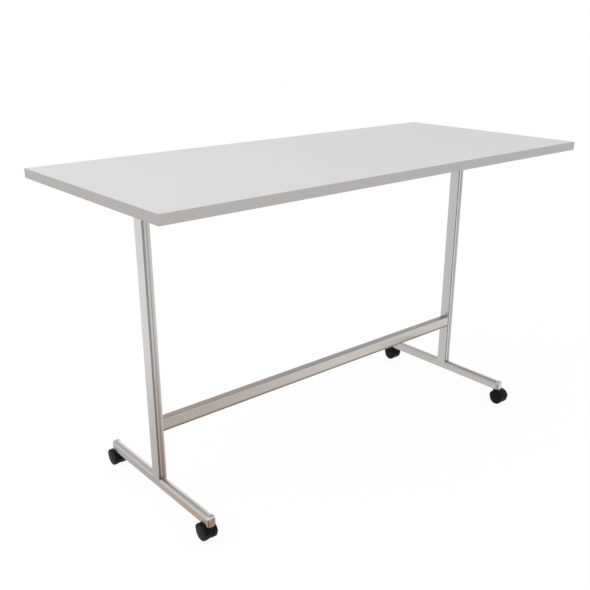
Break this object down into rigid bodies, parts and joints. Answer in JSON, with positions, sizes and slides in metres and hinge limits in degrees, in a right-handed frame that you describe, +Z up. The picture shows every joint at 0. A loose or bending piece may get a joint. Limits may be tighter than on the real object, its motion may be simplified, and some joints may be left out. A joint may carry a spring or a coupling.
{
  "type": "flip top training table",
  "caption": "Standing-height training table with a laminate flip top on aluminium T legs, a low stretcher, clamp handles at the pivots and hooded swivel casters.",
  "frame": {"origin": "on the floor under the middle of the table", "axes": "+X along the length, to the right seen from the front; +Y towards the back; +Z up"},
  "size_m": [1.8, 0.8, 1.074],
  "materials": {
    "laminate": "light grey matt laminate on a wood-based core",
    "edging": "grey plastic edge band",
    "aluminium": "satin extruded aluminium",
    "inner_aluminium": "mill finish",
    "steel": "zinc plated",
    "painted_steel": "black powder coat",
    "black_plastic": "moulded black nylon",
    "wheel_nylon": "moulded black nylon wheel",
    "rubber": "matt"
  },
  "bodies": {
    "base": {"stretcher": "aluminium", "foot_left": "aluminium", "foot_cap_front_left": "aluminium", "foot_cap_back_left": "aluminium", "column_left": "aluminium", "column_plug_left": "inner_aluminium", "foot_bolt_left": "steel", "stretcher_plug_left": "inner_aluminium", "stretcher_bolt_left": "steel", "flip_head_left": "painted_steel", "rest_buffer_left": "rubber", "friction_washer_inner_left": "steel", "friction_washer_outer_left": "steel", "pivot_axle_left": "steel", "foot_right": "aluminium", "foot_cap_front_right": "aluminium", "foot_cap_back_right": "aluminium", "column_right": "aluminium", "column_plug_right": "inner_aluminium", "foot_bolt_right": "steel", "stretcher_plug_right": "inner_aluminium", "stretcher_bolt_right": "steel", "flip_head_right": "painted_steel", "rest_buffer_right": "rubber", "friction_washer_inner_right": "steel", "friction_washer_outer_right": "steel", "pivot_axle_right": "steel", "caster_stem_front_left": "steel", "caster_stem_back_left": "steel", "caster_stem_front_right": "steel", "caster_stem_back_right": "steel"},
    "top": {"top_panel": "laminate", "edge_band_front": "edging", "edge_band_back": "edging", "edge_band_left": "edging", "edge_band_right": "edging", "top_bracket_left": "painted_steel", "top_bracket_right": "painted_steel"},
    "handle_left": {"clamp_handle_left": "black_plastic"},
    "handle_right": {"clamp_handle_right": "black_plastic"},
    "caster_front_left": {"caster_hood_front_left": "black_plastic", "caster_axle_front_left": "steel"},
    "wheel_a_front_left": {"wheel_a_front_left": "wheel_nylon"},
    "wheel_b_front_left": {"wheel_b_front_left": "wheel_nylon"},
    "caster_back_left": {"caster_hood_back_left": "black_plastic", "caster_axle_back_left": "steel"},
    "wheel_a_back_left": {"wheel_a_back_left": "wheel_nylon"},
    "wheel_b_back_left": {"wheel_b_back_left": "wheel_nylon"},
    "pedal_left": {"brake_pedal_back_left": "black_plastic"},
    "caster_front_right": {"caster_hood_front_right": "black_plastic", "caster_axle_front_right": "steel"},
    "wheel_a_front_right": {"wheel_a_front_right": "wheel_nylon"},
    "wheel_b_front_right": {"wheel_b_front_right": "wheel_nylon"},
    "caster_back_right": {"caster_hood_back_right": "black_plastic", "caster_axle_back_right": "steel"},
    "wheel_a_back_right": {"wheel_a_back_right": "wheel_nylon"},
    "wheel_b_back_right": {"wheel_b_back_right": "wheel_nylon"},
    "pedal_right": {"brake_pedal_back_right": "black_plastic"}
  },
  "joints": [
    {"name": "top_flip", "type": "hinge", "parent": "base", "child": "top", "pos_m": [0, -0.012, 1.004], "axis": [1, 0, 0], "range_deg": [0, 90]},
    {"name": "clamp_left", "type": "hinge", "parent": "base", "child": "handle_left", "pos_m": [-0.725, -0.012, 1.004], "axis": [-1, 0, 0], "range_deg": [0, 90]},
    {"name": "clamp_right", "type": "hinge", "parent": "base", "child": "handle_right", "pos_m": [0.725, -0.012, 1.004], "axis": [-1, 0, 0], "range_deg": [0, 90]},
    {"name": "swivel_front_left", "type": "hinge", "parent": "base", "child": "caster_front_left", "pos_m": [-0.725, -0.286, 0.05], "axis": [0, 0, 1], "continuous": true},
    {"name": "spin_a_front_left", "type": "hinge", "parent": "caster_front_left", "child": "wheel_a_front_left", "pos_m": [-0.725, -0.271, 0.02776], "axis": [1, 0, 0], "continuous": true},
    {"name": "spin_b_front_left", "type": "hinge", "parent": "caster_front_left", "child": "wheel_b_front_left", "pos_m": [-0.725, -0.271, 0.02776], "axis": [1, 0, 0], "continuous": true},
    {"name": "swivel_back_left", "type": "hinge", "parent": "base", "child": "caster_back_left", "pos_m": [-0.725, 0.286, 0.05], "axis": [0, 0, 1], "continuous": true},
    {"name": "spin_a_back_left", "type": "hinge", "parent": "caster_back_left", "child": "wheel_a_back_left", "pos_m": [-0.725, 0.301, 0.02776], "axis": [1, 0, 0], "continuous": true},
    {"name": "spin_b_back_left", "type": "hinge", "parent": "caster_back_left", "child": "wheel_b_back_left", "pos_m": [-0.725, 0.301, 0.02776], "axis": [1, 0, 0], "continuous": true},
    {"name": "brake_left", "type": "hinge", "parent": "caster_back_left", "child": "pedal_left", "pos_m": [-0.725, 0.288, 0.037], "axis": [1, 0, 0], "range_deg": [0, 12]},
    {"name": "swivel_front_right", "type": "hinge", "parent": "base", "child": "caster_front_right", "pos_m": [0.725, -0.286, 0.05], "axis": [0, 0, 1], "continuous": true},
    {"name": "spin_a_front_right", "type": "hinge", "parent": "caster_front_right", "child": "wheel_a_front_right", "pos_m": [0.725, -0.301, 0.02776], "axis": [1, 0, 0], "continuous": true},
    {"name": "spin_b_front_right", "type": "hinge", "parent": "caster_front_right", "child": "wheel_b_front_right", "pos_m": [0.725, -0.301, 0.02776], "axis": [1, 0, 0], "continuous": true},
    {"name": "swivel_back_right", "type": "hinge", "parent": "base", "child": "caster_back_right", "pos_m": [0.725, 0.286, 0.05], "axis": [0, 0, 1], "continuous": true},
    {"name": "spin_a_back_right", "type": "hinge", "parent": "caster_back_right", "child": "wheel_a_back_right", "pos_m": [0.725, 0.301, 0.02776], "axis": [1, 0, 0], "continuous": true},
    {"name": "spin_b_back_right", "type": "hinge", "parent": "caster_back_right", "child": "wheel_b_back_right", "pos_m": [0.725, 0.301, 0.02776], "axis": [1, 0, 0], "continuous": true},
    {"name": "brake_right", "type": "hinge", "parent": "caster_back_right", "child": "pedal_right", "pos_m": [0.725, 0.288, 0.037], "axis": [1, 0, 0], "range_deg": [0, 12]}
  ]
}
